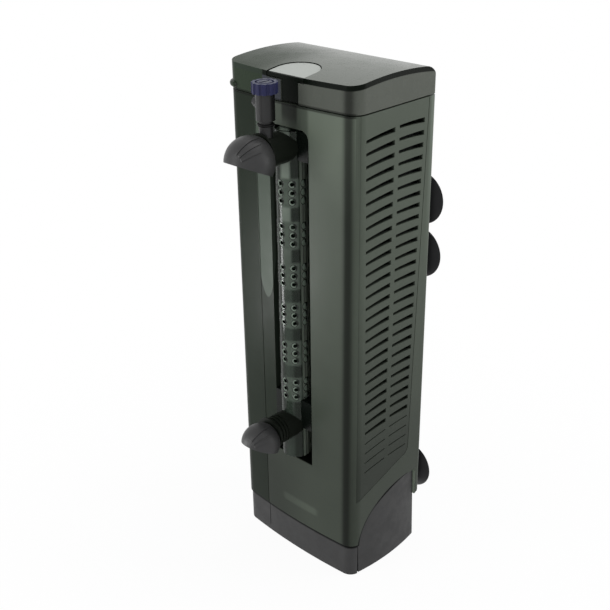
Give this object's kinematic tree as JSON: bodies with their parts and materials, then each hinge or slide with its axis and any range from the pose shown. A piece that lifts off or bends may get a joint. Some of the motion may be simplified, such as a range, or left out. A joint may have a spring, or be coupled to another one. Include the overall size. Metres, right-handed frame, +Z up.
{
  "type": "internal aquarium filter",
  "caption": "Tall upright aquarium filter with a hinged lid, louvred sides, a spray bar in a front recess, two swivelling hooded outlets, an air valve and rear suction cups.",
  "frame": {"origin": "middle of the housing's footprint on the underside of the base, where the filter stands", "axes": "+Z up along the tall housing, -Y out of the front with the spray bar, +X to the right as seen from the front"},
  "size_m": [0.111, 0.1357, 0.35],
  "materials": {
    "smoked_shell": "satin smoked grey-green moulding, slightly see-through",
    "lid_grey": "satin smoked grey-green moulding",
    "tab_pale": "pale grey moulding",
    "dark_plastic": "fine matt dark grey",
    "cheek_grey": "fine matt dark grey",
    "black_plastic": "satin black",
    "hood_grey": "satin dark grey",
    "clear_tube": "clear tube plastic",
    "seal_rubber": "black rubber",
    "cup_rubber": "soft black rubber",
    "knob_blue": "satin dark blue",
    "magnet_ivory": "moulded ivory plastic over a magnet",
    "steel": "stainless steel",
    "foam_black": "open-pored black foam",
    "media_stone": "porous ceramic media, as one block"
  },
  "bodies": {
    "filter_body": {"housing": "smoked_shell", "louvre_panel_left": "smoked_shell", "louvre_panel_right": "smoked_shell", "hinge_pins": "steel", "base": "dark_plastic", "bottom_cover": "dark_plastic", "cheek_left": "cheek_grey", "cheek_right": "cheek_grey", "base_screws": "steel", "spray_bar": "clear_tube", "flow_sleeve": "clear_tube", "bar_cap_upper": "clear_tube", "bar_cap_lower": "clear_tube", "bar_clip_upper": "black_plastic", "bar_clip_lower": "black_plastic", "upper_collar": "black_plastic", "lower_collar": "black_plastic", "air_tube": "hood_grey", "air_ring": "seal_rubber", "riser_duct": "smoked_shell", "pump_deck": "dark_plastic", "motor_block": "black_plastic", "impeller_shaft": "steel", "shaft_bushes": "seal_rubber", "volute": "dark_plastic", "cord_gland": "seal_rubber", "foam_left": "foam_black", "foam_right": "foam_black", "foam_carrier_left": "dark_plastic", "foam_carrier_right": "dark_plastic", "media_basket": "dark_plastic", "bio_media": "media_stone", "cup_5": "cup_rubber", "cup_6": "cup_rubber"},
    "lid": {"lid": "lid_grey"},
    "release_tab": {"lid_tab": "tab_pale"},
    "upper_outlet": {"upper_hood": "hood_grey"},
    "lower_outlet": {"lower_hood": "hood_grey"},
    "air_valve_knob": {"air_knob": "knob_blue"},
    "rotor": {"impeller": "magnet_ivory"},
    "basket_bail": {"basket_handle": "dark_plastic"},
    "glass_bracket": {"rear_bracket": "dark_plastic", "cup_1": "cup_rubber", "cup_2": "cup_rubber", "cup_3": "cup_rubber", "cup_4": "cup_rubber"}
  },
  "joints": [
    {"name": "lid_hinge", "type": "hinge", "parent": "filter_body", "child": "lid", "pos_m": [0, 0.0413, 0.3309], "axis": [-1, 0, 0], "range_deg": [0, 105]},
    {"name": "tab_press", "type": "hinge", "parent": "lid", "child": "release_tab", "pos_m": [0, -0.033, 0.3428], "axis": [-1, 0, 0], "range_deg": [0, 5], "stiffness_Nm_per_rad": 0.3, "springref_deg": -2.86},
    {"name": "upper_swivel", "type": "hinge", "parent": "filter_body", "child": "upper_outlet", "pos_m": [0, -0.062, 0.3044], "axis": [0, -1, 0], "range_deg": [-90, 90]},
    {"name": "lower_swivel", "type": "hinge", "parent": "filter_body", "child": "lower_outlet", "pos_m": [0, -0.062, 0.1093], "axis": [0, -1, 0], "range_deg": [-90, 90]},
    {"name": "air_knob_turn", "type": "hinge", "parent": "filter_body", "child": "air_valve_knob", "pos_m": [0, -0.0541, 0.3391], "axis": [0, 0, 1], "range_deg": [0, 270]},
    {"name": "rotor_spin", "type": "hinge", "parent": "filter_body", "child": "rotor", "pos_m": [0, 0.008, 0.03], "axis": [0, 0, 1], "continuous": true},
    {"name": "bail_lift", "type": "hinge", "parent": "filter_body", "child": "basket_bail", "pos_m": [0, 0.00385, 0.3068], "axis": [1, 0, 0], "range_deg": [0, 90]},
    {"name": "bracket_slide", "type": "slide", "parent": "filter_body", "child": "glass_bracket", "axis": [0, 0, -1], "range_m": [0, 0.09]}
  ]
}
